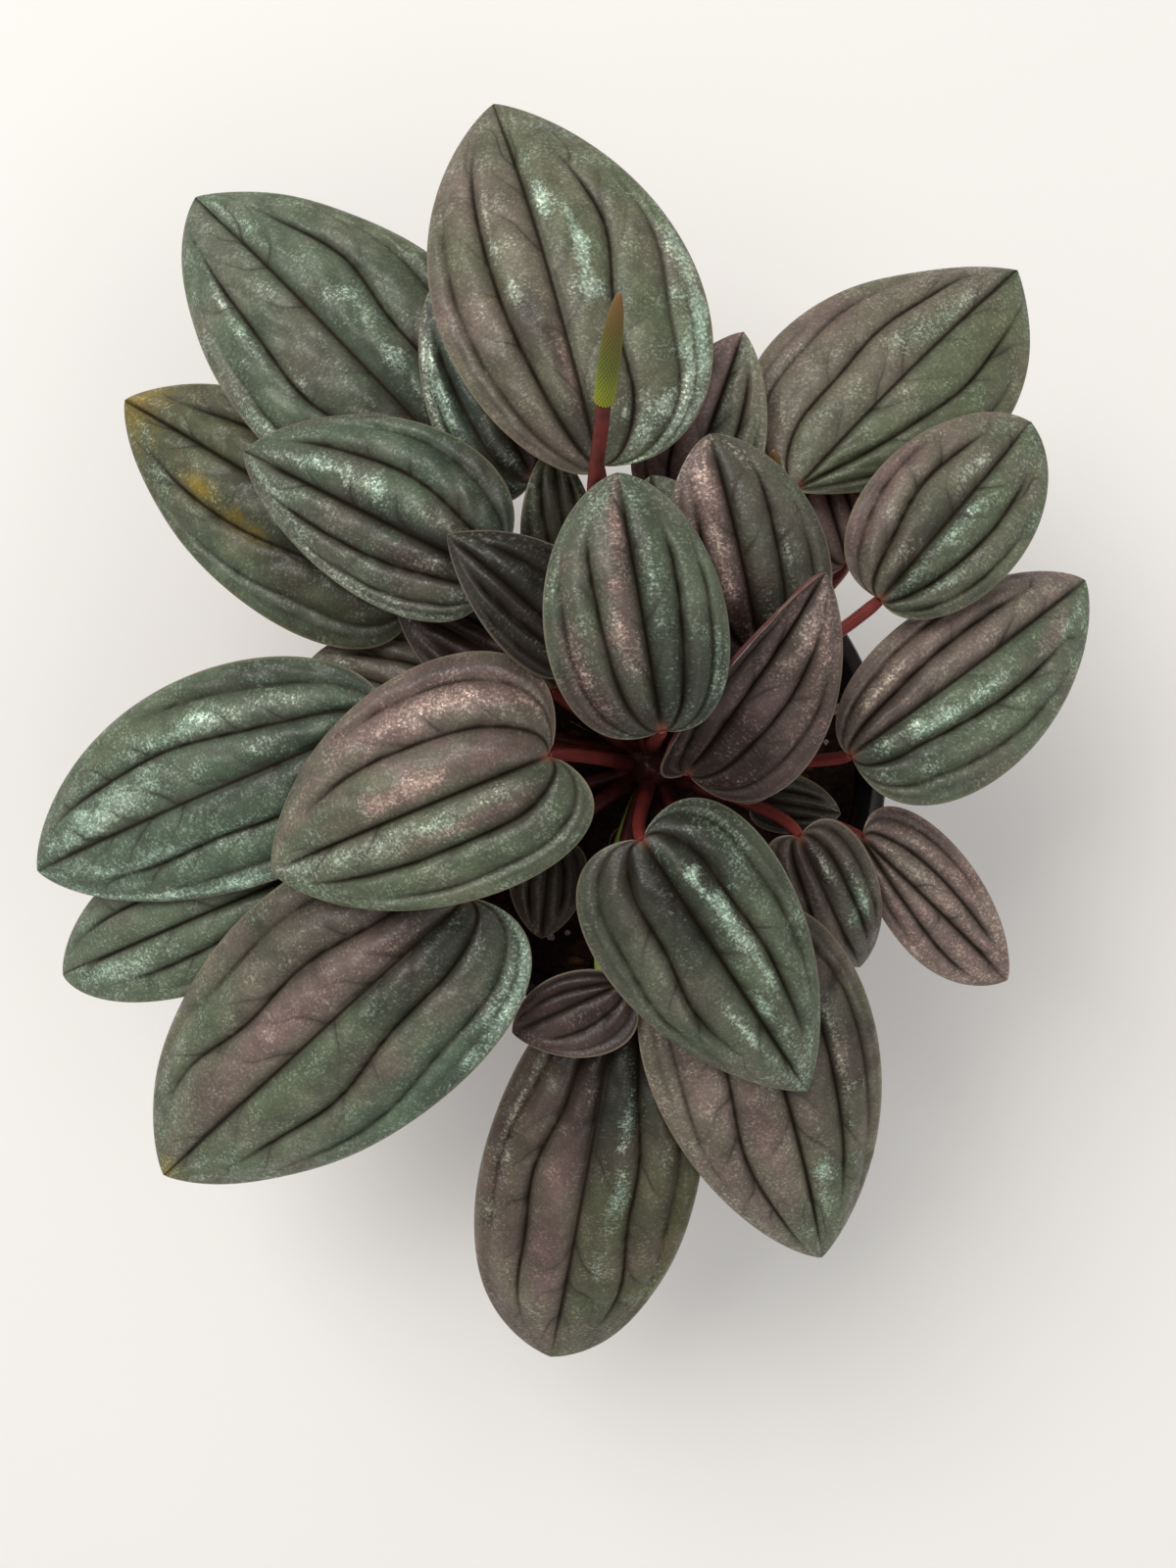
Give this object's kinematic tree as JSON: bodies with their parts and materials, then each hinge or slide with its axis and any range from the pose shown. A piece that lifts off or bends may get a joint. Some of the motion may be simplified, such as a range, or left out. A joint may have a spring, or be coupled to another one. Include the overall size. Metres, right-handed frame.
{
  "type": "potted peperomia",
  "caption": "Potted peperomia: a low rosette of ribbed silver-green and mauve leaves on red stalks, with slim flower spikes, in a round nursery pot filled with soil.",
  "frame": {"origin": "centre of the flat underside of the pot", "axes": "+Z up along the pot's axis; +Y towards the largest leaf at the back, +X to the right seen from above with +Y up"},
  "size_m": [0.2097, 0.25, 0.1681],
  "materials": {
    "leaf": "satin",
    "stalk": "satin",
    "spike": "matte",
    "soil": "rough",
    "pot": "satin"
  },
  "bodies": {
    "root": {"pot": "pot", "soil": "soil", "crown_and_stalks": "stalk", "flower_spike_1": "spike", "flower_spike_2": "spike", "leaf_01": "leaf", "leaf_02": "leaf", "leaf_03": "leaf", "leaf_04": "leaf", "leaf_05": "leaf", "leaf_06": "leaf", "leaf_07": "leaf", "leaf_08": "leaf", "leaf_09": "leaf", "leaf_10": "leaf", "leaf_11": "leaf", "leaf_12": "leaf", "leaf_13": "leaf", "leaf_14": "leaf", "leaf_15": "leaf", "leaf_16": "leaf", "leaf_17": "leaf", "leaf_18": "leaf", "leaf_19": "leaf", "leaf_20": "leaf", "leaf_21": "leaf", "leaf_22": "leaf", "leaf_23": "leaf", "leaf_24": "leaf", "leaf_25": "leaf", "leaf_26": "leaf", "leaf_27": "leaf", "leaf_28": "leaf", "leaf_29": "leaf", "leaf_30": "leaf", "leaf_31": "leaf"}
  },
  "joints": []
}
